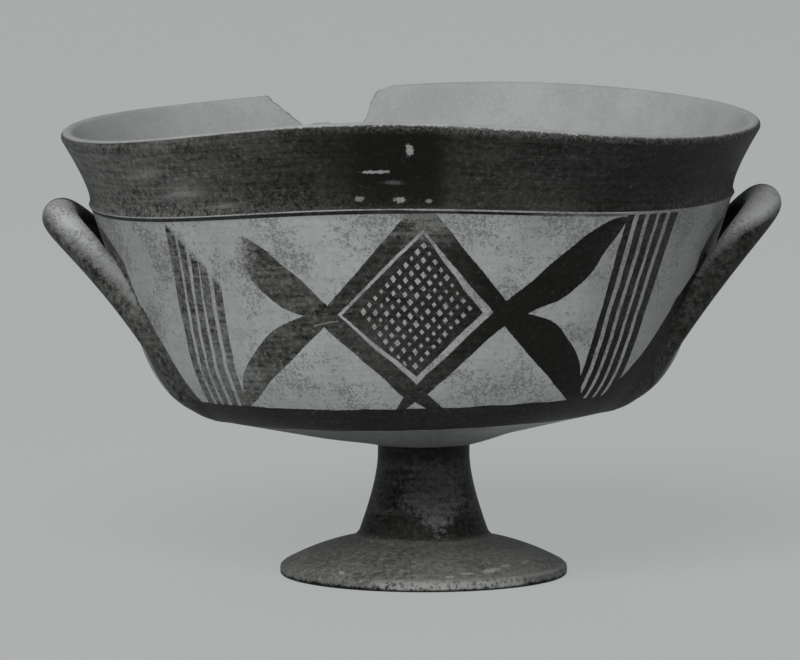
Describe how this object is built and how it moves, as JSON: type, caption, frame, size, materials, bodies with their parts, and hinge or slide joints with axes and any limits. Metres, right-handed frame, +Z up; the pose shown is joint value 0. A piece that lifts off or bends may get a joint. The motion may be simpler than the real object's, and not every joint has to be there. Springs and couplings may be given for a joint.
{
  "type": "kylix cup",
  "caption": "Stemmed drinking cup with a deep flared bowl, concave lip, raised loop handles and a low domed foot; the lip has slumped and part of it is lost.",
  "frame": {"origin": "middle of the cup's plan, on the surface that it stands on", "axes": "+Z up, +X from handle to handle, +Y towards the broken side of the lip"},
  "size_m": [0.2434, 0.2304, 0.1577],
  "materials": {
    "painted_clay": "fired clay, pale slip with worn dark glossy paint"
  },
  "bodies": {
    "root": {"kylix": "painted_clay"}
  },
  "joints": []
}
